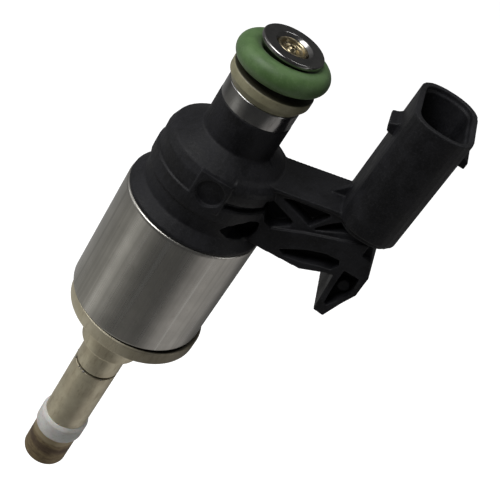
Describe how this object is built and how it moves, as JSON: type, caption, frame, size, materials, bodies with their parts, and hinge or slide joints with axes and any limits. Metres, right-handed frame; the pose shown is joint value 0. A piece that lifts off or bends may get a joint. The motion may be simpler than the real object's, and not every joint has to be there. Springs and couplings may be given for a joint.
{
  "type": "fuel injector",
  "caption": "Direct-injection solenoid fuel injector: ringed fuel inlet, black moulding with a trussed side arm and socket, steel can, slim nozzle with a white seal.",
  "frame": {"origin": "centre of the spray tip's flat end face", "axes": "+Z along the valve axis from the spray tip towards the fuel inlet, +X from the valve axis towards the electrical socket"},
  "size_m": [0.036, 0.0204, 0.0899],
  "materials": {
    "black_plastic": "glass-filled, fine grain",
    "can_steel": "satin, lengthwise streaks",
    "steel": "turned, satin",
    "polished_steel": "ground and polished",
    "magnetic_steel": "machined soft magnetic steel",
    "brass": "turned",
    "copper_wire": "enamelled copper wire",
    "tinned_brass": "tin plated",
    "green_rubber": "matt",
    "tan_plastic": "smooth",
    "white_plastic": "waxy",
    "brown_plastic": "glass-filled",
    "tip_steel": "heat-tarnished"
  },
  "bodies": {
    "injector": {"inlet_tube": "polished_steel", "filter_collar": "brass", "filter_screen": "steel", "o_ring": "green_rubber", "backup_ring": "tan_plastic", "overmould": "black_plastic", "terminal_1": "tinned_brass", "terminal_2": "tinned_brass", "magnet_pot": "can_steel", "pole_washer": "magnetic_steel", "coil_bobbin": "brown_plastic", "coil_winding": "copper_wire", "inner_pole": "magnetic_steel", "isolating_ring": "steel", "adjusting_sleeve": "steel", "seat_ring": "steel", "valve_housing": "steel", "valve_body": "steel", "combustion_seal": "white_plastic", "valve_seat": "tip_steel", "ball_guide": "steel", "closing_spring": "steel"},
    "valve_unit": {"needle": "steel", "ball": "polished_steel", "armature": "magnetic_steel"}
  },
  "joints": [
    {"name": "needle_lift", "type": "slide", "parent": "injector", "child": "valve_unit", "axis": [0, 0, 1], "range_m": [0, 0.00009], "stiffness_N_per_m": 100, "springref_m": -0.0005, "deforming": ["closing_spring"]}
  ]
}
